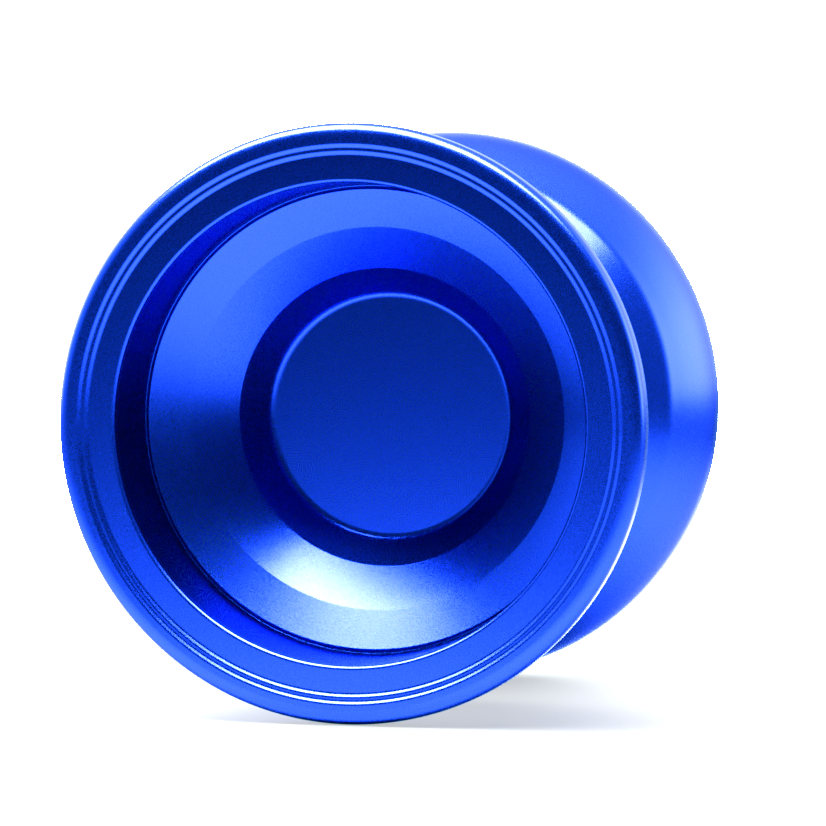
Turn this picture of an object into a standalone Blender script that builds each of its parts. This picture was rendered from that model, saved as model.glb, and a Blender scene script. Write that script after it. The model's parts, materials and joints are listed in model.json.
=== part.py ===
"""Unresponsive ball-bearing yo-yo: two turned aluminium halves on a threaded axle.

Frame: metres. The spin axis is Y and the origin is the centre of the bearing. The
front half is on the -Y side and the rear half on the +Y side. +Z is up.
Every turned piece is drawn as a profile of (radius, height) points about its own
local Z axis, and is then laid over so that its axis lies along world Y.
"""

import math

import bmesh
import bpy
from mathutils import Matrix

MM = 0.001
COLLECTION_NAME = "yo_yo"
CUTTER_COLLECTION_NAME = "yo_yo_cutters"

# Whole yo-yo. Heights are distances from the centre plane, along the axis.
RIM_RADIUS = 28.0 * MM
RIM_FACE_HEIGHT = 23.6 * MM
RIM_ROUNDING = 1.2 * MM
RIM_WALL_BOTTOM = 21.1 * MM
HALF_STEPS = 48

# Front of the rim: a narrow flat ring, two small steps down, then a flat band.
RING_INNER_RADIUS = 26.0 * MM
STEP_DEPTH = 0.25 * MM
STEP_RUN = 0.3 * MM
STEP_TREAD = 0.35 * MM
LIP_RADIUS = 22.45 * MM
LIP_CHAMFER = 0.25 * MM
LIP_BACK_HEIGHT = 22.2 * MM

# Wall of the rim behind the lip, almost straight, and the small step at its foot.
WALL_TOP = (22.62 * MM, 21.9 * MM)
WALL_FOOT_RADIUS = 22.3 * MM
WALL_FOOT_DEPTH = 0.2 * MM

# Cup: two conical facets, a steep wall, a rounded corner and the flat hub.
CONE_OUTER = (21.93 * MM, 13.7 * MM)
CONE_MIDDLE = (18.32 * MM, 11.33 * MM)
CONE_INNER = (14.35 * MM, 8.13 * MM)
HUB_RADIUS = 11.5 * MM
HUB_CORNER_RUN = 0.75 * MM
HUB_CORNER_POINTS = 4
HUB_FACE_HEIGHT = 5.0 * MM

# Outside of the bowl: straight from the string gap to a bend, then curved up to the rim.
BOWL_BEND = (24.45 * MM, 13.5 * MM)
BOWL_BEND_ROUNDING = 0.35 * MM
BOWL_OUTER_ANGLE = math.radians(33)
GAP_EDGE_RADIUS = 12.0 * MM
GAP_EDGE_ROUNDING = 0.3 * MM
BOWL_POINTS = 5
BEND_POINTS = 2

# String gap and response pads.
GAP_HALF_WIDTH = 2.2 * MM
PAD_OUTER_RADIUS = 9.6 * MM
PAD_INNER_RADIUS = 7.2 * MM
PAD_RECESS_DEPTH = 1.0 * MM
PAD_CLEARANCE = 0.05 * MM

# Bearing seat.
BEARING_RECESS_RADIUS = 6.5 * MM
BEARING_RECESS_HEIGHT = 2.8 * MM
SHOULDER_RADIUS = 3.85 * MM
SHOULDER_HEIGHT = 2.41 * MM
POST_RADIUS = 3.14 * MM
POST_TIP_HEIGHT = 0.35 * MM
POST_CHAMFER = 0.25 * MM

# Axle: an M4 set screw, 8 mm long, with a hexagon socket at one end.
AXLE_RADIUS = 1.97 * MM
AXLE_LENGTH = 8.0 * MM
AXLE_CHAMFER = 0.4 * MM
AXLE_STEPS = 32
SOCKET_ACROSS_FLATS = 2.0 * MM
SOCKET_DEPTH = 2.0 * MM
AXLE_HOLE_RADIUS = 2.03 * MM
AXLE_HOLE_HEIGHT = 4.25 * MM
AXLE_HOLE_CHAMFER = 0.25 * MM

# Size C bearing: 6.35 mm bore, 12.7 mm outside, 4.762 mm wide.
BEARING_BORE_RADIUS = 3.175 * MM
BEARING_OUTER_RADIUS = 6.35 * MM
BEARING_HALF_WIDTH = 2.381 * MM
BEARING_STEPS = 48
RACE_CHAMFER = 0.2 * MM
BALL_COUNT = 10
BALL_RADIUS = 0.794 * MM
BALL_PITCH_RADIUS = 4.7625 * MM
BALL_CLEARANCE = 0.03 * MM
INNER_LAND_RADIUS = 4.12 * MM
OUTER_LAND_RADIUS = 5.4 * MM
RACEWAY_SEGMENTS = 5

CAGE_INNER_RADIUS = 4.4 * MM
CAGE_OUTER_RADIUS = 5.12 * MM
CAGE_HALF_WIDTH = 1.25 * MM
CAGE_POCKET_RADIUS = 0.86 * MM
CAGE_STEPS = 40
POCKET_STEPS = 16

SHIELD_SEAT_HEIGHT = 1.6 * MM
SHIELD_SEAT_RADIUS = 5.95 * MM
SHIELD_INNER_RADIUS = 4.25 * MM
SHIELD_THICKNESS = 0.18 * MM
SHIELD_CLEARANCE = 0.06 * MM
SNAP_GROOVE_TOP = 2.22 * MM
SNAP_LIP_RADIUS = 5.8 * MM
SNAP_RING_INNER_RADIUS = 5.5 * MM
SNAP_RING_THICKNESS = 0.27 * MM
SNAP_RING_GAP = 1.4 * MM

MERGE_DISTANCE = 1e-6
SHARP_ANGLE = math.radians(28)
TO_REAR = Matrix.Rotation(math.radians(-90), 4, "X")
TO_FRONT = Matrix.Rotation(math.radians(90), 4, "X")

ANODISED_BLUE = ((0.012, 0.05, 0.62, 1.0), 0.3, 1.0)
STEEL = ((0.62, 0.63, 0.65, 1.0), 0.25, 1.0)
DARK_STEEL = ((0.16, 0.16, 0.17, 1.0), 0.45, 1.0)
CAGE_STEEL = ((0.72, 0.6, 0.36, 1.0), 0.35, 1.0)
SILICONE = ((0.86, 0.87, 0.88, 1.0), 0.55, 0.0)


def clear_scene():
    """Remove the objects that a new file starts with."""
    for obj in list(bpy.data.objects):
        bpy.data.objects.remove(obj, do_unlink=True)


def make_collection(name):
    """A new collection, linked under the scene's own."""
    collection = bpy.data.collections.new(name)
    bpy.context.scene.collection.children.link(collection)
    return collection


def make_material(name, look):
    """A plain Principled material from (colour, roughness, metallic)."""
    colour, roughness, metallic = look
    material = bpy.data.materials.new(name)
    material.use_nodes = True
    shader = material.node_tree.nodes["Principled BSDF"]
    shader.inputs["Base Color"].default_value = colour
    shader.inputs["Roughness"].default_value = roughness
    shader.inputs["Metallic"].default_value = metallic
    material.diffuse_color = colour
    return material


def arc(centre, radius, start, end, segments):
    """Points on an arc about centre, in degrees, both ends included."""
    turns = (math.radians(start + (end - start) * i / segments) for i in range(segments + 1))
    return [(centre[0] + radius * math.cos(t), centre[1] + radius * math.sin(t)) for t in turns]


def bend(start, corner, end, segments):
    """Points on a quadratic curve that leaves start and reaches end along the lines to corner."""
    points = []
    for i in range(segments + 1):
        t = i / segments
        weights = ((1 - t) ** 2, 2 * t * (1 - t), t ** 2)
        points.append(tuple(sum(w * p[k] for w, p in zip(weights, (start, corner, end))) for k in (0, 1)))
    return points


def add_object(name, mesh, collection, material=None, matrix=None):
    """An object around a mesh, in a collection, with its material and place."""
    obj = bpy.data.objects.new(name, mesh)
    collection.objects.link(obj)
    if material is not None:
        mesh.materials.append(material)
    if matrix is not None:
        obj.matrix_world = matrix
    return obj


def turned(name, profile, steps, collection, material, matrix, ring=True):
    """Turn a profile about local Z. A ring's profile closes on itself; a solid's ends on the axis."""
    mesh = bpy.data.meshes.new(name)
    shape = bmesh.new()
    verts = [shape.verts.new((radius, 0.0, height)) for radius, height in profile]
    for first, second in zip(verts, verts[1:]):
        shape.edges.new((first, second))
    if ring:
        shape.edges.new((verts[-1], verts[0]))
    shape.to_mesh(mesh)
    shape.free()
    obj = add_object(name, mesh, collection, material, matrix)
    screw = obj.modifiers.new("turn", "SCREW")
    screw.axis = "Z"
    screw.steps = steps
    screw.render_steps = steps
    screw.use_merge_vertices = True
    screw.merge_threshold = MERGE_DISTANCE
    return obj


def add_cutter(name, mesh, collection, matrix):
    """A cutter: drawn as wire and left out of the model."""
    cutter = add_object(name, mesh, collection, matrix=matrix)
    cutter.hide_render = True
    cutter.display_type = "WIRE"
    return cutter


def cut(obj, cutter):
    """Take a cutter's volume out of an object."""
    boolean = obj.modifiers.new(cutter.name, "BOOLEAN")
    boolean.operation = "DIFFERENCE"
    boolean.solver = "EXACT"
    boolean.object = cutter


def prism_mesh(name, sides, radius, length):
    """A closed prism or cylinder about its own Z axis, centred on its origin."""
    mesh = bpy.data.meshes.new(name)
    shape = bmesh.new()
    bmesh.ops.create_cone(shape, cap_ends=True, segments=sides, radius1=radius, radius2=radius, depth=length)
    shape.to_mesh(mesh)
    shape.free()
    return mesh


def box_mesh(name, size):
    """A closed box centred on its origin."""
    mesh = bpy.data.meshes.new(name)
    shape = bmesh.new()
    bmesh.ops.create_cube(shape, size=1.0, matrix=Matrix.Diagonal((*size, 1.0)))
    shape.to_mesh(mesh)
    shape.free()
    return mesh


def cup_profile():
    """The open side of a half, from the axis out to the foot of the rim's wall."""
    wall_foot = CONE_OUTER[1] - WALL_FOOT_DEPTH
    corner = (HUB_RADIUS + HUB_CORNER_RUN / 2, HUB_FACE_HEIGHT)
    wall_share = HUB_CORNER_RUN / 2 / (CONE_INNER[0] - corner[0])
    wall_start = tuple(low + wall_share * (high - low) for low, high in zip(corner, CONE_INNER))
    return [
        (0.0, HUB_FACE_HEIGHT),
        *bend((HUB_RADIUS, HUB_FACE_HEIGHT), corner, wall_start, HUB_CORNER_POINTS),
        CONE_INNER,
        CONE_MIDDLE,
        CONE_OUTER,
        (CONE_OUTER[0] + WALL_FOOT_DEPTH / 2, wall_foot),
        (WALL_FOOT_RADIUS, wall_foot),
    ]


def lip_profile():
    """Up the rim's wall, round the lip and across the stepped front of the rim."""
    band_height = RIM_FACE_HEIGHT - 2 * STEP_DEPTH
    tread_outer = RING_INNER_RADIUS - STEP_RUN
    tread_inner = tread_outer - STEP_TREAD
    return [
        WALL_TOP,
        (LIP_RADIUS, LIP_BACK_HEIGHT),
        (LIP_RADIUS, band_height - LIP_CHAMFER),
        (LIP_RADIUS + LIP_CHAMFER, band_height),
        (tread_inner - STEP_RUN, band_height),
        (tread_inner, RIM_FACE_HEIGHT - STEP_DEPTH),
        (tread_outer, RIM_FACE_HEIGHT - STEP_DEPTH),
        (RING_INNER_RADIUS, RIM_FACE_HEIGHT),
    ]


def bowl_profile():
    """Down the rim wall, round the outer curve, over the bend and along the straight to the string gap."""
    outer = (math.sin(BOWL_OUTER_ANGLE), math.cos(BOWL_OUTER_ANGLE))
    run = (BOWL_BEND[0] - GAP_EDGE_RADIUS, BOWL_BEND[1] - GAP_HALF_WIDTH)
    inner = (run[0] / math.hypot(*run), run[1] / math.hypot(*run))
    corner = (RIM_RADIUS, BOWL_BEND[1] + (RIM_RADIUS - BOWL_BEND[0]) / math.tan(BOWL_OUTER_ANGLE))
    bend_start = tuple(place + BOWL_BEND_ROUNDING * way for place, way in zip(BOWL_BEND, outer))
    bend_end = tuple(place - BOWL_BEND_ROUNDING * way for place, way in zip(BOWL_BEND, inner))
    curve = bend((RIM_RADIUS, RIM_WALL_BOTTOM), corner, bend_start, BOWL_POINTS)
    return curve + bend(bend_start, BOWL_BEND, bend_end, BEND_POINTS)[1:]


def gap_edge_profile():
    """The rounded corner between the bowl and the string gap."""
    slope = (BOWL_BEND[0] - GAP_EDGE_RADIUS) / (BOWL_BEND[1] - GAP_HALF_WIDTH)
    start = (GAP_EDGE_RADIUS + slope * GAP_EDGE_ROUNDING, GAP_HALF_WIDTH + GAP_EDGE_ROUNDING)
    end = (GAP_EDGE_RADIUS - GAP_EDGE_ROUNDING, GAP_HALF_WIDTH)
    return bend(start, (GAP_EDGE_RADIUS, GAP_HALF_WIDTH), end, BEND_POINTS)


def outside_profile():
    """Down the outside: rounded rim, rim wall, bowl and the edge of the string gap."""
    rim_centre = (RIM_RADIUS - RIM_ROUNDING, RIM_FACE_HEIGHT - RIM_ROUNDING)
    return arc(rim_centre, RIM_ROUNDING, 90, 0, 4) + bowl_profile() + gap_edge_profile()


def gap_profile():
    """Inwards over the string gap: pad recess, bearing recess, shoulder, post and axle hole."""
    pad_floor = GAP_HALF_WIDTH + PAD_RECESS_DEPTH
    return [
        (PAD_OUTER_RADIUS, GAP_HALF_WIDTH),
        (PAD_OUTER_RADIUS, pad_floor),
        (PAD_INNER_RADIUS, pad_floor),
        (PAD_INNER_RADIUS, GAP_HALF_WIDTH),
        (BEARING_RECESS_RADIUS, GAP_HALF_WIDTH),
        (BEARING_RECESS_RADIUS, BEARING_RECESS_HEIGHT),
        (SHOULDER_RADIUS, BEARING_RECESS_HEIGHT),
        (SHOULDER_RADIUS, SHOULDER_HEIGHT),
        (POST_RADIUS, SHOULDER_HEIGHT),
        (POST_RADIUS, POST_TIP_HEIGHT + POST_CHAMFER),
        (POST_RADIUS - POST_CHAMFER, POST_TIP_HEIGHT),
        (AXLE_HOLE_RADIUS + AXLE_HOLE_CHAMFER, POST_TIP_HEIGHT),
        (AXLE_HOLE_RADIUS, POST_TIP_HEIGHT + AXLE_HOLE_CHAMFER),
        (AXLE_HOLE_RADIUS, AXLE_HOLE_HEIGHT),
        (0.0, AXLE_HOLE_HEIGHT),
    ]


def make_half(name, collection, material, matrix):
    """One half, turned from a single piece of bar."""
    profile = cup_profile() + lip_profile() + outside_profile() + gap_profile()
    return turned(name, profile, HALF_STEPS, collection, material, matrix, ring=False)


def make_pad(name, collection, material, matrix):
    """A flat silicone ring, glued flush into its recess."""
    inner = PAD_INNER_RADIUS + PAD_CLEARANCE
    outer = PAD_OUTER_RADIUS - PAD_CLEARANCE
    low = GAP_HALF_WIDTH + PAD_CLEARANCE
    high = GAP_HALF_WIDTH + PAD_RECESS_DEPTH - PAD_CLEARANCE
    profile = [(inner, high), (outer, high), (outer, low), (inner, low)]
    return turned(name, profile, HALF_STEPS, collection, material, matrix)


def make_axle(collection, cutters, material):
    """The set screw that joins the halves, chamfered at both ends."""
    half = AXLE_LENGTH / 2
    tip = AXLE_RADIUS - AXLE_CHAMFER
    profile = [
        (0.0, half),
        (tip, half),
        (AXLE_RADIUS, half - AXLE_CHAMFER),
        (AXLE_RADIUS, AXLE_CHAMFER - half),
        (tip, -half),
        (0.0, -half),
    ]
    axle = turned("axle", profile, AXLE_STEPS, collection, material, TO_REAR, ring=False)
    corner_radius = SOCKET_ACROSS_FLATS / 2 / math.cos(math.pi / 6)
    socket = prism_mesh("axle_socket", 6, corner_radius, 2 * SOCKET_DEPTH)
    place = TO_REAR @ Matrix.Translation((0.0, 0.0, half))
    cut(axle, add_cutter("axle_socket", socket, cutters, place))


def raceway(side):
    """Half of a ball groove's cross-section, as an arc about the ball's centre; side is -1 in, +1 out."""
    radius = BALL_RADIUS + BALL_CLEARANCE
    land = INNER_LAND_RADIUS if side < 0 else OUTER_LAND_RADIUS
    edge = math.degrees(math.acos(abs(land - BALL_PITCH_RADIUS) / radius))
    middle = 180 if side < 0 else 0
    return arc((BALL_PITCH_RADIUS, 0.0), radius, middle - edge, middle + edge, RACEWAY_SEGMENTS)


def make_inner_race(collection, material):
    """The race that sits still on the posts."""
    top = BEARING_HALF_WIDTH
    bore = BEARING_BORE_RADIUS
    profile = [
        (bore + RACE_CHAMFER, top),
        (INNER_LAND_RADIUS, top),
        *raceway(-1),
        (INNER_LAND_RADIUS, -top),
        (bore + RACE_CHAMFER, -top),
        (bore, RACE_CHAMFER - top),
        (bore, top - RACE_CHAMFER),
    ]
    turned("bearing_inner_race", profile, BEARING_STEPS, collection, material, TO_REAR)


def make_outer_race(collection, material):
    """The race that the string loops round, with a seat for a shield and snap ring on each side."""
    top = BEARING_HALF_WIDTH
    outer = BEARING_OUTER_RADIUS
    upper_bore = [
        (OUTER_LAND_RADIUS, SHIELD_SEAT_HEIGHT),
        (SHIELD_SEAT_RADIUS, SHIELD_SEAT_HEIGHT),
        (SHIELD_SEAT_RADIUS, SNAP_GROOVE_TOP),
        (SNAP_LIP_RADIUS, SNAP_GROOVE_TOP),
        (SNAP_LIP_RADIUS, top),
    ]
    lower_bore = [(radius, -height) for radius, height in reversed(upper_bore)]
    outside = [
        (outer - RACE_CHAMFER, top),
        (outer, top - RACE_CHAMFER),
        (outer, RACE_CHAMFER - top),
        (outer - RACE_CHAMFER, -top),
    ]
    profile = outside + lower_bore + raceway(1) + upper_bore
    turned("bearing_outer_race", profile, BEARING_STEPS, collection, material, TO_REAR)


def ball_angle(index):
    """The angle of a ball about the spin axis, as seen along local Z."""
    return 2 * math.pi * index / BALL_COUNT


def make_cage(collection, cutters, material):
    """A ring that keeps the balls apart, with a round pocket for each."""
    inner, outer, top = CAGE_INNER_RADIUS, CAGE_OUTER_RADIUS, CAGE_HALF_WIDTH
    profile = [(inner, top), (outer, top), (outer, -top), (inner, -top)]
    cage = turned("bearing_cage", profile, CAGE_STEPS, collection, material, TO_REAR)
    pocket = prism_mesh("cage_pocket", POCKET_STEPS, CAGE_POCKET_RADIUS, 2 * (outer - inner))
    out_to_ball = Matrix.Translation((BALL_PITCH_RADIUS, 0.0, 0.0)) @ Matrix.Rotation(math.pi / 2, 4, "Y")
    for index in range(BALL_COUNT):
        place = TO_REAR @ Matrix.Rotation(ball_angle(index), 4, "Z") @ out_to_ball
        cut(cage, add_cutter(f"cage_pocket_{index + 1:02d}", pocket, cutters, place))


def make_balls(collection, material):
    """The balls share one mesh, and each has its origin at its own centre."""
    mesh = bpy.data.meshes.new("ball")
    shape = bmesh.new()
    bmesh.ops.create_uvsphere(shape, u_segments=12, v_segments=6, radius=BALL_RADIUS)
    shape.to_mesh(mesh)
    shape.free()
    mesh.materials.append(material)
    for index in range(BALL_COUNT):
        spin = Matrix.Rotation(ball_angle(index), 4, "Z")
        place = TO_REAR @ spin @ Matrix.Translation((BALL_PITCH_RADIUS, 0.0, 0.0))
        add_object(f"ball_{index + 1:02d}", mesh, collection, matrix=place)


def make_shield(name, collection, material, matrix):
    """A thin washer that closes one side of the bearing."""
    outer = SHIELD_SEAT_RADIUS - SHIELD_CLEARANCE
    low = SHIELD_SEAT_HEIGHT + SHIELD_CLEARANCE
    high = low + SHIELD_THICKNESS
    profile = [(SHIELD_INNER_RADIUS, high), (outer, high), (outer, low), (SHIELD_INNER_RADIUS, low)]
    turned(name, profile, BEARING_STEPS, collection, material, matrix)


def make_snap_ring(name, collection, cutters, material, matrix):
    """The split ring that holds a shield in its seat."""
    outer = SHIELD_SEAT_RADIUS - SHIELD_CLEARANCE
    high = SNAP_GROOVE_TOP - SHIELD_CLEARANCE
    low = high - SNAP_RING_THICKNESS
    profile = [(SNAP_RING_INNER_RADIUS, high), (outer, high), (outer, low), (SNAP_RING_INNER_RADIUS, low)]
    ring = turned(name, profile, BEARING_STEPS, collection, material, matrix)
    gap = box_mesh(name + "_gap", (SNAP_RING_GAP, 2 * BEARING_OUTER_RADIUS, BEARING_OUTER_RADIUS))
    place = matrix @ Matrix.Translation((0.0, BEARING_OUTER_RADIUS, 0.0))
    cut(ring, add_cutter(name + "_gap", gap, cutters, place))


def finish_meshes(collection):
    """Apply the modifiers and shade the round faces smooth, with sharp edges kept."""
    depsgraph = bpy.context.evaluated_depsgraph_get()
    finished = {}
    for obj in collection.objects:
        source = obj.data.name
        if source not in finished:
            finished[source] = bpy.data.meshes.new_from_object(obj.evaluated_get(depsgraph))
            finished[source].shade_smooth()
            finished[source].set_sharp_from_angle(angle=SHARP_ANGLE)
    for obj in collection.objects:
        mesh = finished[obj.data.name]
        obj.modifiers.clear()
        obj.data = mesh


def main():
    clear_scene()
    parts = make_collection(COLLECTION_NAME)
    cutters = make_collection(CUTTER_COLLECTION_NAME)
    blue = make_material("anodised_blue", ANODISED_BLUE)
    steel = make_material("bearing_steel", STEEL)
    dark_steel = make_material("axle_steel", DARK_STEEL)
    cage_steel = make_material("cage_steel", CAGE_STEEL)
    silicone = make_material("silicone", SILICONE)

    for side, matrix in (("front", TO_FRONT), ("rear", TO_REAR)):
        make_half(f"{side}_half", parts, blue, matrix)
        make_pad(f"response_pad_{side}", parts, silicone, matrix)
        make_shield(f"bearing_shield_{side}", parts, steel, matrix)
        make_snap_ring(f"snap_ring_{side}", parts, cutters, dark_steel, matrix)
    make_axle(parts, cutters, dark_steel)
    make_inner_race(parts, steel)
    make_outer_race(parts, steel)
    make_cage(parts, cutters, cage_steel)
    make_balls(parts, steel)
    bpy.context.view_layer.update()
    finish_meshes(parts)


main()
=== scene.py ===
"""The looks of a ball-bearing yo-yo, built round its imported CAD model.

Each turned piece is the CAD node's own outline, with its corners rounded, turned
again in fine steps. The spin axis is Y, and the yo-yo stands on its two rims.
"""

import json
import math

import bmesh
import bpy
from mathutils import Matrix, Vector


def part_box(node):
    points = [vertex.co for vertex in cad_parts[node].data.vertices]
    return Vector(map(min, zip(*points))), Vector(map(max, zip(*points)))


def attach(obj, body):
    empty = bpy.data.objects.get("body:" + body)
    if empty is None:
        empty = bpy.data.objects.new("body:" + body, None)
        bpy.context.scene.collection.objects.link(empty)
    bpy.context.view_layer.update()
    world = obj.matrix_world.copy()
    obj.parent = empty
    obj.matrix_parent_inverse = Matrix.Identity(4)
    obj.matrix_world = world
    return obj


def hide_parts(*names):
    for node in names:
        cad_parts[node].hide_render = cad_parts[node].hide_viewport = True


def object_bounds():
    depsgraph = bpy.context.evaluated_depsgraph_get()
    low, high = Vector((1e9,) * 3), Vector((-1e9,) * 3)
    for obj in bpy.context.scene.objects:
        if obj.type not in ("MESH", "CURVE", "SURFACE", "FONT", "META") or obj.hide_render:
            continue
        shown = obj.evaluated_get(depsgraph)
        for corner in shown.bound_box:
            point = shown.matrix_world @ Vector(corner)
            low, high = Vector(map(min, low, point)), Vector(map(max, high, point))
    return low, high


MM = 0.001

# Turned pieces: steps round the axis, and the radius that rounds each kind of corner.
HALF_STEPS = 256
BEARING_STEPS = 160
HALF_CORNER = 0.3 * MM
PAD_CORNER = 0.12 * MM
CAGE_CORNER = 0.1 * MM
RACE_CORNER = 0.08 * MM
SHIELD_CORNER = 0.06 * MM

# Corners of an outline. A corner's curve takes up to CORNER_REACH of the shorter edge beside it.
# Below SOFT_TURN, next to an edge under SOFT_EDGE, it takes half of that edge.
CORNER_SEGMENTS = 5
CORNER_REACH = 0.42
STRAIGHT_TURN = math.radians(1)
SOFT_TURN = math.radians(24)
SOFT_EDGE = 2.5 * MM

# Distance of the guard points from the ends of a long edge, which keep the shading of flats flat.
GUARD = 0.03 * MM
LONG_EDGE = 6 * GUARD

# Edges that turn by more than these stay sharp.
TURNED_SHARP_ANGLE = math.radians(40)
CUT_SHARP_ANGLE = math.radians(35)

# Lengths below this count as nothing, in metres. Angles too, in radians.
NEAR = 1e-6

# Balls, and their pockets in the cage: width as a share of the ball's, and depth.
BALL_SUBDIVISIONS = 4
POCKET_SHARE = 1.08
POCKET_STEPS = 48
POCKET_DEPTH = 2 * MM

# Threaded axle: an M4 x 0.7 set screw. The shares are of the pitch, for the flat crest and root.
THREAD_PITCH = 0.7 * MM
THREAD_DEPTH = 0.38 * MM
THREAD_STEPS = 72
THREAD_ROWS_PER_TURN = 14
CREST_SHARE = 0.25
ROOT_SHARE = 0.125
AXLE_CHAMFER = 0.4 * MM
SOCKET_ACROSS_FLATS = 2.0 * MM
SOCKET_DEPTH = 2.0 * MM

# Noise patterns stay between about these two values.
NOISE_RANGE = (0.3, 0.7)

# Blue oxide layer. The speckle and the grain are in cycles per metre.
BLUE_TONES = ((0.0126, 0.0138, 0.222), (0.015, 0.0163, 0.268))
BLUE_EDGE_TINT = (0.56, 0.52, 0.95)
BLUE_SPECKLE = 9000.0
BLUE_SPECKLE_RANGE = (0.25, 0.75)
BLUE_ROUGHNESS = (0.22, 0.32)
BLUE_GRAIN = 15000.0
BLUE_GRAIN_TILT = 0.085

# Walls that face the axis are darker: a painted shade in the recess of the cup, where little light
# reaches. The shade sets in between these two values of facing_axis.
PAINTED_WALL_SHADE = 0.58
WALL_FACING = (0.85, 0.97)

# The other colours are dark and a little red, because the exposure and the grade below
# brighten them and take red from them. Metals: base colour and roughness.
GROUND_STEEL = ((0.125, 0.1, 0.1), 0.2)
SHIELD_STEEL = ((0.09, 0.07, 0.07), 0.3)
SPRING_STEEL = ((0.07, 0.045, 0.045), 0.35)
POLISHED_STEEL = ((0.18, 0.15, 0.15), 0.08)
CAGE_STRIP = ((0.2, 0.125, 0.065), 0.32)
BLACK_OXIDE = ((0.045, 0.025, 0.025), 0.42)
METAL_TONE_SPREAD = (0.82, 1.12)
METAL_GLOSS_SPREAD = (0.8, 1.3)
SCRATCH_SCALE = 2600.0
SCRATCH_DEPTH = 0.01 * MM
SCRATCH_STRENGTH = 0.12
POLISHED_SCRATCH_STRENGTH = 0.03

# Silicone. The mottling and the grain are in cycles per metre.
SILICONE_TONES = ((0.19, 0.16, 0.16), (0.23, 0.2, 0.2))
SILICONE_ROUGHNESS = (0.45, 0.65)
SILICONE_MOTTLING = 900.0
SILICONE_GRAIN = 6500.0
SILICONE_GRAIN_DEPTH = 0.02 * MM
SILICONE_GRAIN_STRENGTH = 0.3
SILICONE_SCATTER = 0.6 * MM

# Input and output places on a Mix node.
MIX_FACTOR = 0
MIX_NUMBER_A = 2
MIX_NUMBER_B = 3
MIX_COLOUR_A = 6
MIX_COLOUR_B = 7
MIX_COLOUR_RESULT = 2

# Camera: angles in degrees, distances in metres, lens and sensor in millimetres.
CAMERA_AZIMUTH = 12.87
CAMERA_ELEVATION = 2.84
CAMERA_DISTANCE = 0.396
CAMERA_LENS = 175.6
SENSOR_WIDTH = 36.0
CAMERA_AIM_RIGHT = 1.03 * MM

# Softboxes: place, turn about the vertical, size and power.
LARGE_SOFTBOX = ((-0.12, -0.1, 0.45), math.radians(-10), (0.78, 0.32), 25.0)
SMALL_SOFTBOX = ((0.31, -0.13, 0.45), 0.0, (0.13, 0.13), 1.3)

# Floor. The camera sees FLOOR_TONE with a glow, which fades to white between two distances.
# Other rays see the tone in FLOOR_REFLECTED, from near to far: a painted pool of light, light near the
# yo-yo and dark further off.
WHITE = (1.0, 1.0, 1.0, 1.0)
WHITE_STRENGTH = 16.0
FLOOR_HALF_WIDTH = 3.0
FLOOR_CELLS = 8
FLOOR_TONE = (0.017, 0.016, 0.015)
FLOOR_GLOW = (0.207, 0.146, 0.148)
FLOOR_FADE = (0.12, 0.3)
FLOOR_REFLECTED = (0.42, 0.02)
FLOOR_REFLECTED_REACH = (0.05, 0.19)

# World brightness by direction: two strengths or shares, and the X, Y or Z of each.
WORLD_FRONT = (0.105, 0.45, -0.4, -0.1)
WORLD_BEHIND = (7.6, 0.3, 0.5, 0.98)
WORLD_REAR_SHARE = (0.0, 1.0, -0.03, 0.36)
WORLD_HEIGHT_SHARE = (1.0, 0.25, 0.3, 0.7)
WORLD_LEFT = (1.75, 0.0, -0.95, -0.55)

# Grading. The red curve is red times red / (red + RED_TOE), drawn through these places and 1.
EXPOSURE = 1.82
RED_TOE = 0.1
RED_CURVE_PLACES = (0.02, 0.05, 0.1, 0.2, 0.4, 0.7)

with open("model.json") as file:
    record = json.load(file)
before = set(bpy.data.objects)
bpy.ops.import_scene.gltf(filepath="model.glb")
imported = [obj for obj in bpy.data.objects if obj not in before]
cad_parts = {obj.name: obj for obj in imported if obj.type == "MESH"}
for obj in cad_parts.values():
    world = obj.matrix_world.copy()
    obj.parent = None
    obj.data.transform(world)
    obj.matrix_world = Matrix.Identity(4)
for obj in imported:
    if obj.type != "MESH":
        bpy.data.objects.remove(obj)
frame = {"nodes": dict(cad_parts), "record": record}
cad_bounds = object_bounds()


# --- Outlines -----------------------------------------------------------------


def outline(node):
    """The node's section in the half plane through the axis and +X, as (radius, y) points.

    A solid's outline runs from the axis to the axis. A ring's closes on itself.
    """
    shape = bmesh.new()
    shape.from_mesh(frame["nodes"][node].data)
    bmesh.ops.remove_doubles(shape, verts=shape.verts, dist=NEAR)
    section = {v for v in shape.verts if abs(v.co.z) < NEAR and v.co.x > NEAR}
    others = {v: [e.other_vert(v) for e in v.link_edges] for v in section}
    links = {v: [other for other in others[v] if other in section] for v in section}
    ends = sorted((v for v in section if len(links[v]) == 1), key=lambda v: abs(v.co.y))
    here = ends[-1] if ends else max(section, key=lambda v: (v.co.x, v.co.y))
    points = [(0.0, here.co.y)] if ends else []
    walked = set()
    while here is not None:
        walked.add(here)
        points.append((here.co.x, here.co.y))
        here = next((v for v in links[here] if v not in walked), None)
    if ends:
        points.append((0.0, points[-1][1]))
    shape.free()
    return points


def corner_curve(before, corner, after, radius):
    """Points that round one corner.

    A shallow corner beside a short edge belongs to a curve, so it is smoothed away.
    """
    to_before, to_after = before - corner, after - corner
    shorter = min(to_before.length, to_after.length)
    turn = math.pi - to_before.angle(to_after, 0.0)
    if turn < STRAIGHT_TURN:
        return [corner]
    reach = min(radius * math.tan(turn / 2), CORNER_REACH * shorter)
    if turn < SOFT_TURN and shorter < SOFT_EDGE:
        reach = shorter / 2
    start = corner + to_before.normalized() * reach
    end = corner + to_after.normalized() * reach
    curve = []
    for i in range(CORNER_SEGMENTS + 1):
        t = i / CORNER_SEGMENTS
        curve.append((1 - t) ** 2 * start + 2 * t * (1 - t) * corner + t ** 2 * end)
    return curve


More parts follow.
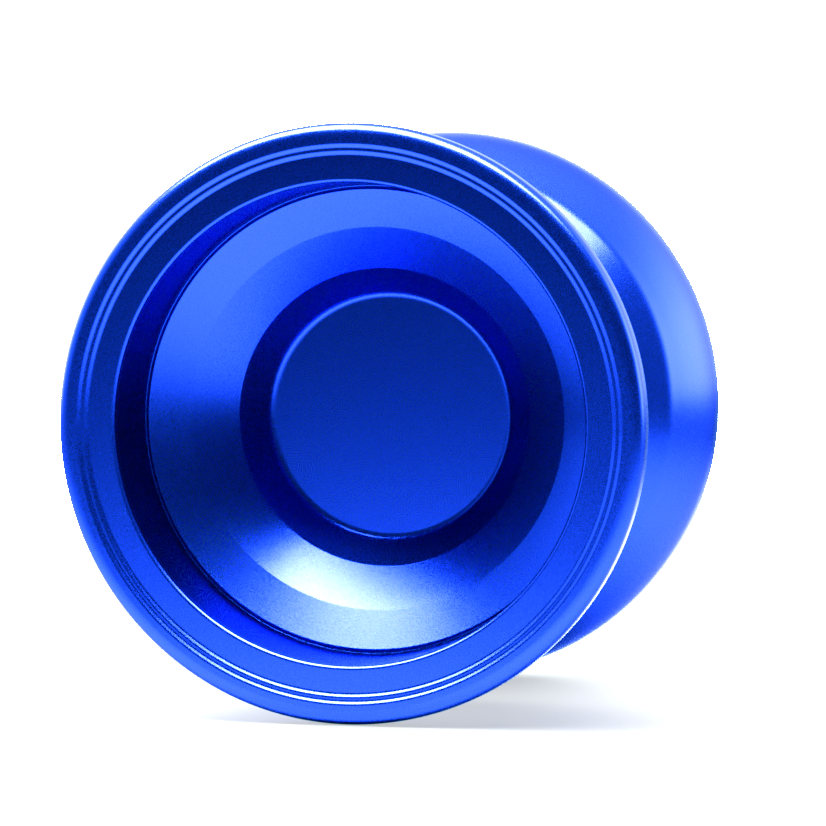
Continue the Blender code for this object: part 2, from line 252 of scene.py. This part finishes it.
def rounded(points, radius, ring):
    """An outline with every corner rounded, and a guard point beside each corner on a long edge."""
    corners = [Vector((r, y)) for r, y in points]
    count = len(corners)
    result = []
    for i, corner in enumerate(corners):
        if not ring and i in (0, count - 1):
            result.append(corner)
            continue
        result.extend(corner_curve(corners[i - 1], corner, corners[(i + 1) % count], radius))
    guarded = []
    pairs = list(zip(result, result[1:] + (result[:1] if ring else [])))
    for first, second in pairs:
        guarded.append(first)
        gap = (second - first).length
        if gap > LONG_EDGE:
            guarded.append(first.lerp(second, GUARD / gap))
            guarded.append(first.lerp(second, 1 - GUARD / gap))
    if not ring:
        guarded.append(result[-1])
    return guarded


def turned_mesh(name, profile, steps, ring, start=0.0, sweep=2 * math.pi):
    """Turn (radius, y) points about the Y axis. A partial sweep is capped at both ends."""
    whole = sweep > 2 * math.pi - NEAR
    shape = bmesh.new()
    columns = []
    count = steps if whole else steps + 1
    poles = {}
    for step in range(count):
        angle = start + sweep * step / steps
        column = []
        for index, point in enumerate(profile):
            radius, y = point
            if radius < NEAR:
                if index not in poles:
                    poles[index] = shape.verts.new((0.0, y, 0.0))
                column.append(poles[index])
                continue
            place = (radius * math.cos(angle), y, -radius * math.sin(angle))
            column.append(shape.verts.new(place))
        columns.append(column)
    rows = len(profile) if ring else len(profile) - 1
    for step in range(steps):
        here, there = columns[step], columns[(step + 1) % count]
        for row in range(rows):
            below = (row + 1) % len(profile)
            corners = [here[row], here[below], there[below], there[row]]
            unique = list(dict.fromkeys(corners))
            if len(unique) > 2:
                shape.faces.new(unique)
    if not whole:
        shape.faces.new(columns[0])
        shape.faces.new(list(reversed(columns[-1])))
    bmesh.ops.recalc_face_normals(shape, faces=shape.faces)
    mesh = bpy.data.meshes.new(name)
    shape.to_mesh(mesh)
    shape.free()
    mesh.shade_smooth()
    mesh.set_sharp_from_angle(angle=TURNED_SHARP_ANGLE)
    return mesh


def body_of_node(node):
    """The CAD body that a node belongs to."""
    bodies = frame["record"]["behaviour"]["bodies"]
    return next(name for name, nodes in bodies.items() if node in nodes)


def stand_for(node, mesh, material):
    """A fine piece that takes a CAD node's place, on the node's body and in its material slot."""
    piece = bpy.data.objects.new(node + "_surface", mesh)
    bpy.context.scene.collection.objects.link(piece)
    mesh.materials.clear()
    mesh.materials.append(material)
    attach(piece, body_of_node(node))
    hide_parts(node)
    return piece


def turn_node(node, steps, radius, material, ring=True):
    """Replace a turned CAD node by a fine one with rounded corners."""
    profile = rounded(outline(node), radius, ring)
    return stand_for(node, turned_mesh(node, profile, steps, ring), material)


# --- Materials ----------------------------------------------------------------


def new_material(name):
    """A material with a bare Principled shader. Returns the material, its node tree and the shader."""
    material = bpy.data.materials.new(name)
    material.use_nodes = True
    tree = material.node_tree
    return material, tree, tree.nodes["Principled BSDF"]


def add_node(tree, kind, inputs=None, **settings):
    """A node with its settings and input values or links."""
    node = tree.nodes.new(kind)
    for key, value in settings.items():
        setattr(node, key, value)
    for key, value in (inputs or {}).items():
        if isinstance(value, bpy.types.NodeSocket):
            tree.links.new(value, node.inputs[key])
        else:
            node.inputs[key].default_value = value
    return node


def object_noise(tree, scale, detail=2.0, roughness=0.5):
    """A noise pattern fixed to the piece, with scale in cycles per metre."""
    place = add_node(tree, "ShaderNodeTexCoord")
    return add_node(
        tree,
        "ShaderNodeTexNoise",
        {"Vector": place.outputs["Object"], "Scale": scale, "Detail": detail, "Roughness": roughness},
    ).outputs["Fac"]


def remap(tree, value, low, high, from_low=0.0, from_high=1.0):
    """A value mapped from one range to another."""
    return add_node(
        tree,
        "ShaderNodeMapRange",
        {"Value": value, "From Min": from_low, "From Max": from_high, "To Min": low, "To Max": high},
    ).outputs["Result"]


def two_tones(tree, value, first, second):
    """A colour that runs from the first to the second as the value runs from 0 to 1."""
    ramp = add_node(tree, "ShaderNodeValToRGB", {"Fac": value})
    ramp.color_ramp.elements[0].color = (*first, 1.0)
    ramp.color_ramp.elements[1].color = (*second, 1.0)
    return ramp.outputs["Color"]


def grain_normal(tree, scale, strength):
    """The surface normal, tilted a little this way and that by a fine grain."""
    place = add_node(tree, "ShaderNodeTexCoord")
    noise = add_node(
        tree, "ShaderNodeTexNoise", {"Vector": place.outputs["Object"], "Scale": scale, "Detail": 1.0}
    )
    centred = add_node(
        tree, "ShaderNodeVectorMath", {0: noise.outputs["Color"], 1: (0.5, 0.5, 0.5)}, operation="SUBTRACT"
    )
    normal = add_node(tree, "ShaderNodeNewGeometry")
    tilted = add_node(
        tree,
        "ShaderNodeVectorMath",
        {0: centred.outputs[0], 1: (strength, strength, strength), 2: normal.outputs["Normal"]},
        operation="MULTIPLY_ADD",
    )
    return add_node(tree, "ShaderNodeVectorMath", {0: tilted.outputs[0]}, operation="NORMALIZE").outputs[0]


def facing_axis(tree):
    """How squarely the surface faces the Y axis, from -1 to 1."""
    place = add_node(tree, "ShaderNodeTexCoord")
    across = add_node(
        tree,
        "ShaderNodeVectorMath",
        {0: place.outputs["Object"], 1: (-1.0, 0.0, -1.0)},
        operation="MULTIPLY",
    )
    inward = add_node(tree, "ShaderNodeVectorMath", {0: across.outputs[0]}, operation="NORMALIZE")
    facing = add_node(
        tree,
        "ShaderNodeVectorMath",
        {0: inward.outputs[0], 1: place.outputs["Normal"]},
        operation="DOT_PRODUCT",
    )
    return facing.outputs["Value"]


def anodised_blue():
    """Bead-blasted aluminium under an oxide layer that holds a blue dye: satin, deep blue, with a fine
    grain.

    Steep walls that face the axis are darker: a painted shade in the recess of the cup.
    """
    material, tree, shader = new_material("anodised_blue")
    fine = object_noise(tree, BLUE_SPECKLE, detail=1.0, roughness=0.6)
    speckle = remap(tree, fine, 0.0, 1.0, *BLUE_SPECKLE_RANGE)
    tone = two_tones(tree, speckle, *BLUE_TONES)
    # Painted shade: the blue darkens on walls that face the axis, deep in the cup.
    shade = remap(tree, facing_axis(tree), 1.0, PAINTED_WALL_SHADE, *WALL_FACING)
    tone_and_painted_shade = add_node(
        tree, "ShaderNodeVectorMath", {0: tone, "Scale": shade}, operation="SCALE"
    )
    tree.links.new(tone_and_painted_shade.outputs[0], shader.inputs["Base Color"])
    gloss = remap(tree, fine, *BLUE_ROUGHNESS, *NOISE_RANGE)
    tree.links.new(gloss, shader.inputs["Roughness"])
    tree.links.new(grain_normal(tree, BLUE_GRAIN, BLUE_GRAIN_TILT), shader.inputs["Normal"])
    shader.inputs["Metallic"].default_value = 1.0
    shader.inputs["Specular Tint"].default_value = (*BLUE_EDGE_TINT, 1.0)
    shader.inputs["Coat Weight"].default_value = 0.04
    shader.inputs["Coat Roughness"].default_value = 0.25
    shader.inputs["Coat IOR"].default_value = 1.6
    return material


def bare_metal(name, colour, roughness, bump=SCRATCH_STRENGTH):
    """Metal with fine marks: streaks that run round the axis, and uneven gloss."""
    material, tree, shader = new_material(name)
    place = add_node(tree, "ShaderNodeTexCoord")
    split = add_node(tree, "ShaderNodeSeparateXYZ", {"Vector": place.outputs["Object"]})
    x_squared = add_node(
        tree, "ShaderNodeMath", {0: split.outputs["X"], 1: split.outputs["X"]}, operation="MULTIPLY"
    )
    radius_squared = add_node(
        tree,
        "ShaderNodeMath",
        {0: split.outputs["Z"], 1: split.outputs["Z"], 2: x_squared.outputs[0]},
        operation="MULTIPLY_ADD",
    )
    radius = add_node(tree, "ShaderNodeMath", {0: radius_squared.outputs[0]}, operation="SQRT")
    section = add_node(tree, "ShaderNodeCombineXYZ", {"X": radius.outputs[0], "Y": split.outputs["Y"]})
    streaks = add_node(
        tree,
        "ShaderNodeTexNoise",
        {"Vector": section.outputs[0], "Scale": 4 * SCRATCH_SCALE, "Detail": 3.0},
    ).outputs["Fac"]
    clouds = object_noise(tree, SCRATCH_SCALE / 4)
    tones = [[factor * c for c in colour] for factor in METAL_TONE_SPREAD]
    tree.links.new(two_tones(tree, clouds, *tones), shader.inputs["Base Color"])
    smooth, rough = (factor * roughness for factor in METAL_GLOSS_SPREAD)
    gloss = remap(tree, streaks, smooth, rough, *NOISE_RANGE)
    tree.links.new(gloss, shader.inputs["Roughness"])
    marks = add_node(
        tree, "ShaderNodeBump", {"Strength": bump, "Distance": SCRATCH_DEPTH, "Height": streaks}
    )
    tree.links.new(marks.outputs[0], shader.inputs["Normal"])
    shader.inputs["Metallic"].default_value = 1.0
    return material


def silicone():
    """Cast silicone: slightly translucent, matt, with a fine texture from its mould."""
    material, tree, shader = new_material("white_silicone")
    mottling = object_noise(tree, SILICONE_MOTTLING, detail=3.0)
    grain = object_noise(tree, SILICONE_GRAIN)
    tone = two_tones(tree, mottling, *SILICONE_TONES)
    tree.links.new(tone, shader.inputs["Base Color"])
    gloss = remap(tree, grain, *SILICONE_ROUGHNESS, *NOISE_RANGE)
    tree.links.new(gloss, shader.inputs["Roughness"])
    bump = add_node(
        tree,
        "ShaderNodeBump",
        {
            "Strength": SILICONE_GRAIN_STRENGTH,
            "Distance": SILICONE_GRAIN_DEPTH,
            "Height": grain,
        },
    )
    tree.links.new(bump.outputs[0], shader.inputs["Normal"])
    shader.inputs["Subsurface Weight"].default_value = 0.35
    shader.inputs["Subsurface Radius"].default_value = [SILICONE_SCATTER] * 3
    shader.inputs["Subsurface Scale"].default_value = 1.0
    shader.inputs["IOR"].default_value = 1.41
    return material


# --- Pieces -------------------------------------------------------------------


def make_halves(material):
    """The two turned aluminium halves."""
    for node in ("front_half", "rear_half"):
        turn_node(node, HALF_STEPS, HALF_CORNER, material, ring=False)


def make_pads(material):
    """The silicone response pads."""
    for node in ("response_pad_front", "response_pad_rear"):
        turn_node(node, BEARING_STEPS, PAD_CORNER, material)


def make_races(material, shield_material):
    """Both races of the bearing, and the shields that close it."""
    for node in ("bearing_inner_race", "bearing_outer_race"):
        turn_node(node, BEARING_STEPS, RACE_CORNER, material)
    for node in ("bearing_shield_front", "bearing_shield_rear"):
        turn_node(node, BEARING_STEPS, SHIELD_CORNER, shield_material)


def widest_gap(node):
    """The start angle and size of the widest gap in a split ring, about Y from +X towards -Z."""
    points = frame["nodes"][node].data.vertices
    angles = sorted(math.atan2(-v.co.z, v.co.x) % (2 * math.pi) for v in points)
    gaps = [(b - a, a) for a, b in zip(angles, angles[1:] + [angles[0] + 2 * math.pi])]
    size, start = max(gaps)
    return start, size


def make_snap_rings(material):
    """The split rings: the same turned section, with a gap."""
    for node in ("snap_ring_front", "snap_ring_rear"):
        start, size = widest_gap(node)
        profile = rounded(outline(node), RACE_CORNER, True)
        sweep = 2 * math.pi - size
        mesh = turned_mesh(node, profile, BEARING_STEPS, True, start + size, sweep)
        stand_for(node, mesh, material)


def ball_nodes():
    """The names of the ball nodes."""
    return sorted(n for n in frame["nodes"] if n.startswith("ball_"))


def centre(node):
    """The middle of a node's box."""
    low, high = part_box(node)
    return (low + high) / 2


def make_balls(material):
    """Round balls, each as large as its CAD node."""
    for node in ball_nodes():
        low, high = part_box(node)
        shape = bmesh.new()
        radius = (high.z - low.z) / 2
        bmesh.ops.create_icosphere(shape, subdivisions=BALL_SUBDIVISIONS, radius=radius)
        bmesh.ops.translate(shape, verts=shape.verts, vec=centre(node))
        mesh = bpy.data.meshes.new(node)
        shape.to_mesh(mesh)
        shape.free()
        mesh.shade_smooth()
        stand_for(node, mesh, material)


def cut_out(piece, cutters):
    """Cut each cutter out of a piece, apply the cuts and remove the cutters."""
    for cutter in cutters:
        boolean = piece.modifiers.new(cutter.name, "BOOLEAN")
        boolean.operation = "DIFFERENCE"
        boolean.solver = "EXACT"
        boolean.object = cutter
    bpy.context.view_layer.update()
    evaluated = piece.evaluated_get(bpy.context.evaluated_depsgraph_get())
    mesh = bpy.data.meshes.new_from_object(evaluated)
    piece.modifiers.clear()
    piece.data = mesh
    mesh.shade_smooth()
    mesh.set_sharp_from_angle(angle=CUT_SHARP_ANGLE)
    for cutter in cutters:
        bpy.data.objects.remove(cutter)


def prism(name, sides, radius, length, matrix):
    """A closed prism about its own Z axis, placed by a matrix."""
    shape = bmesh.new()
    bmesh.ops.create_cone(
        shape, cap_ends=True, segments=sides, radius1=radius, radius2=radius, depth=length
    )
    mesh = bpy.data.meshes.new(name)
    shape.to_mesh(mesh)
    shape.free()
    cutter = bpy.data.objects.new(name, mesh)
    bpy.context.scene.collection.objects.link(cutter)
    cutter.matrix_world = matrix
    return cutter


def make_cage(material):
    """The ball cage, with a round pocket about each ball."""
    node = "bearing_cage"
    profile = rounded(outline_between_pockets(node), CAGE_CORNER, True)
    cage = stand_for(node, turned_mesh(node, profile, BEARING_STEPS, True), material)
    cutters = []
    for ball in ball_nodes():
        low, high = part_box(ball)
        radius = POCKET_SHARE * (high.z - low.z) / 2
        outward = centre(ball).to_track_quat("Z", "Y").to_matrix().to_4x4()
        place = Matrix.Translation(centre(ball)) @ outward
        cutters.append(prism(ball + "_pocket", POCKET_STEPS, radius, POCKET_DEPTH, place))
    cut_out(cage, cutters)


def outline_between_pockets(node):
    """The cage's plain section: a rectangle from its box and its smallest radius."""
    low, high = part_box(node)
    inner = min(math.hypot(v.co.x, v.co.z) for v in frame["nodes"][node].data.vertices)
    return [(inner, high.y), (high.x, high.y), (high.x, low.y), (inner, low.y)]


def thread_height(phase):
    """How far the thread stands out of its root, from 0 to 1, at a phase of one turn from 0 to 1."""
    distance = abs(phase - 0.5) * 2
    flank = 1 - CREST_SHARE - ROOT_SHARE
    return min(1.0, max(0.0, (1 - ROOT_SHARE - distance) / flank))


def make_axle(material):
    """The set screw: a helical thread, chamfered ends and a hexagon socket."""
    low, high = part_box("axle")
    crest = high.x
    root = crest - THREAD_DEPTH
    length = high.y - low.y
    rows = int(THREAD_ROWS_PER_TURN * length / THREAD_PITCH)
    shape = bmesh.new()
    grid = []
    for row in range(rows + 1):
        y = low.y + length * row / rows
        end_limit = crest - AXLE_CHAMFER + min(y - low.y, high.y - y)
        ring = []
        for step in range(THREAD_STEPS):
            turn = step / THREAD_STEPS
            phase = ((y - low.y) / THREAD_PITCH + turn) % 1.0
            radius = min(end_limit, root + THREAD_DEPTH * thread_height(phase))
            angle = 2 * math.pi * turn
            ring.append(shape.verts.new((radius * math.cos(angle), y, radius * math.sin(angle))))
        grid.append(ring)
    for first, second in zip(grid, grid[1:]):
        for step in range(THREAD_STEPS):
            after = (step + 1) % THREAD_STEPS
            shape.faces.new((first[step], second[step], second[after], first[after]))
    shape.faces.new(grid[0])
    shape.faces.new(grid[-1])
    bmesh.ops.recalc_face_normals(shape, faces=shape.faces)
    mesh = bpy.data.meshes.new("axle")
    shape.to_mesh(mesh)
    shape.free()
    axle = stand_for("axle", mesh, material)
    corner = SOCKET_ACROSS_FLATS / 2 / math.cos(math.pi / 6)
    place = Matrix.Translation((0.0, high.y, 0.0)) @ Matrix.Rotation(math.radians(-90), 4, "X")
    cut_out(axle, [prism("axle_socket", 6, corner, 2 * SOCKET_DEPTH, place)])


# --- Studio -------------------------------------------------------------------


def make_camera():
    """A long lens that looks at the front, from a little to the right and a little above."""
    azimuth, elevation = math.radians(CAMERA_AZIMUTH), math.radians(CAMERA_ELEVATION)
    back = Vector(
        (
            math.sin(azimuth) * math.cos(elevation),
            -math.cos(azimuth) * math.cos(elevation),
            math.sin(elevation),
        )
    )
    right = Vector((math.cos(azimuth), math.sin(azimuth), 0.0))
    middle = (Vector(cad_bounds[0]) + Vector(cad_bounds[1])) / 2
    data = bpy.data.cameras.new("camera")
    data.lens = CAMERA_LENS
    data.sensor_width = SENSOR_WIDTH
    data.clip_start = 0.01
    data.clip_end = 50.0
    camera = bpy.data.objects.new("camera", data)
    bpy.context.scene.collection.objects.link(camera)
    camera.location = middle + right * CAMERA_AIM_RIGHT + back * CAMERA_DISTANCE
    camera.rotation_euler = back.to_track_quat("Z", "Y").to_euler()
    bpy.context.scene.camera = camera


def add_softbox(name, location, turn, size, power):
    """An oval area light that faces the floor, turned about the vertical."""
    data = bpy.data.lights.new(name, "AREA")
    data.shape = "ELLIPSE"
    data.size, data.size_y = size
    data.energy = power
    light = bpy.data.objects.new(name, data)
    bpy.context.scene.collection.objects.link(light)
    light.location = location
    light.rotation_euler = (0.0, 0.0, turn)


def make_floor():
    """A floor under the rims. To the camera it is pale and fades into the white background.

    To other rays it is light near the yo-yo and dark further off, a painted pool of light round the yo-yo.
    """
    low = Vector(cad_bounds[0])
    shape = bmesh.new()
    bmesh.ops.create_grid(
        shape, x_segments=FLOOR_CELLS, y_segments=FLOOR_CELLS, size=FLOOR_HALF_WIDTH
    )
    mesh = bpy.data.meshes.new("floor")
    shape.to_mesh(mesh)
    shape.free()
    floor = bpy.data.objects.new("floor", mesh)
    bpy.context.scene.collection.objects.link(floor)
    floor.location = (0.0, 0.0, low.z)
    material, tree, shader = new_material("floor_white")
    shader.inputs["Roughness"].default_value = 0.6
    shader.inputs["Specular IOR Level"].default_value = 0.2
    place = add_node(tree, "ShaderNodeTexCoord")
    length = add_node(
        tree, "ShaderNodeVectorMath", {0: place.outputs["Object"]}, operation="LENGTH"
    )
    distance = length.outputs["Value"]
    fade = remap(tree, distance, 0.0, 1.0, *FLOOR_FADE)
    from_camera = add_node(tree, "ShaderNodeLightPath").outputs["Is Camera Ray"]
    # Painted pool of light: to other rays the floor is light near the yo-yo and dark further off.
    reflected = remap(tree, distance, *FLOOR_REFLECTED, *FLOOR_REFLECTED_REACH)
    tone = add_node(
        tree,
        "ShaderNodeMix",
        {MIX_FACTOR: from_camera, MIX_COLOUR_A: reflected, MIX_COLOUR_B: (*FLOOR_TONE, 1.0)},
        data_type="RGBA",
    )
    tree.links.new(tone.outputs[MIX_COLOUR_RESULT], shader.inputs["Base Color"])
    tree.links.new(from_camera, shader.inputs["Emission Strength"])
    shader.inputs["Emission Color"].default_value = (*FLOOR_GLOW, 1.0)
    shown = add_node(tree, "ShaderNodeMath", {0: fade, 1: from_camera}, operation="MULTIPLY")
    white = add_node(tree, "ShaderNodeEmission", {"Color": WHITE, "Strength": WHITE_STRENGTH})
    mix = add_node(
        tree,
        "ShaderNodeMixShader",
        {0: shown.outputs[0], 1: shader.outputs[0], 2: white.outputs[0]},
    )
    tree.links.new(mix.outputs[0], tree.nodes["Material Output"].inputs["Surface"])
    mesh.materials.append(material)


def make_world():
    """Surroundings that are bright behind the yo-yo and dim in front. The camera sees plain white."""
    world = bpy.data.worlds.new("studio")
    bpy.context.scene.world = world
    world.use_nodes = True
    tree = world.node_tree
    background = tree.nodes["Background"]
    place = add_node(tree, "ShaderNodeTexCoord")
    split = add_node(tree, "ShaderNodeSeparateXYZ", {"Vector": place.outputs["Generated"]})
    front = remap(tree, split.outputs["Y"], *WORLD_FRONT)
    behind = remap(tree, split.outputs["Y"], *WORLD_BEHIND)
    rear = remap(tree, split.outputs["Y"], *WORLD_REAR_SHARE)
    height = remap(tree, split.outputs["Z"], *WORLD_HEIGHT_SHARE)
    backdrop = add_node(tree, "ShaderNodeMath", {0: behind, 1: height}, operation="MULTIPLY")
    left = remap(tree, split.outputs["X"], *WORLD_LEFT)
    around = add_node(tree, "ShaderNodeMath", {0: front, 1: left}, operation="ADD")
    brightness = add_node(
        tree,
        "ShaderNodeMath",
        {0: rear, 1: backdrop.outputs[0], 2: around.outputs[0]},
        operation="MULTIPLY_ADD",
    )
    from_camera = add_node(tree, "ShaderNodeLightPath").outputs["Is Camera Ray"]
    strength = add_node(
        tree,
        "ShaderNodeMix",
        {
            MIX_FACTOR: from_camera,
            MIX_NUMBER_A: brightness.outputs[0],
            MIX_NUMBER_B: WHITE_STRENGTH,
        },
        data_type="FLOAT",
    )
    tree.links.new(strength.outputs[0], background.inputs["Strength"])
    background.inputs["Color"].default_value = WHITE


def grade():
    """A crisp response that clips at white.

    The dark reds are held back, which keeps the blue pure in the shade.
    """
    view = bpy.context.scene.view_settings
    view.view_transform = "Standard"
    view.look = "None"
    view.exposure = EXPOSURE
    view.use_curve_mapping = True
    view.curve_mapping.use_clip = False
    red = view.curve_mapping.curves[0]
    for place in RED_CURVE_PLACES:
        red.points.new(place, place ** 2 / (place + RED_TOE))
    red.points[len(red.points) - 1].location = (1.0, 1.0 / (1.0 + RED_TOE))
    view.curve_mapping.update()


def make_studio():
    """Camera, floor, surroundings, one large softbox overhead and a small one beside it."""
    make_camera()
    make_floor()
    make_world()
    add_softbox("softbox", *LARGE_SOFTBOX)
    add_softbox("small_softbox", *SMALL_SOFTBOX)
    grade()


def main():
    """Build the studio, and a fine piece for every CAD node."""
    make_studio()
    make_halves(anodised_blue())
    make_pads(silicone())
    make_races(bare_metal("ground_steel", *GROUND_STEEL), bare_metal("shield_steel", *SHIELD_STEEL))
    make_snap_rings(bare_metal("spring_steel", *SPRING_STEEL))
    make_balls(bare_metal("polished_steel", *POLISHED_STEEL, bump=POLISHED_SCRATCH_STRENGTH))
    make_cage(bare_metal("cage_strip", *CAGE_STRIP))
    make_axle(bare_metal("black_oxide", *BLACK_OXIDE))


main()
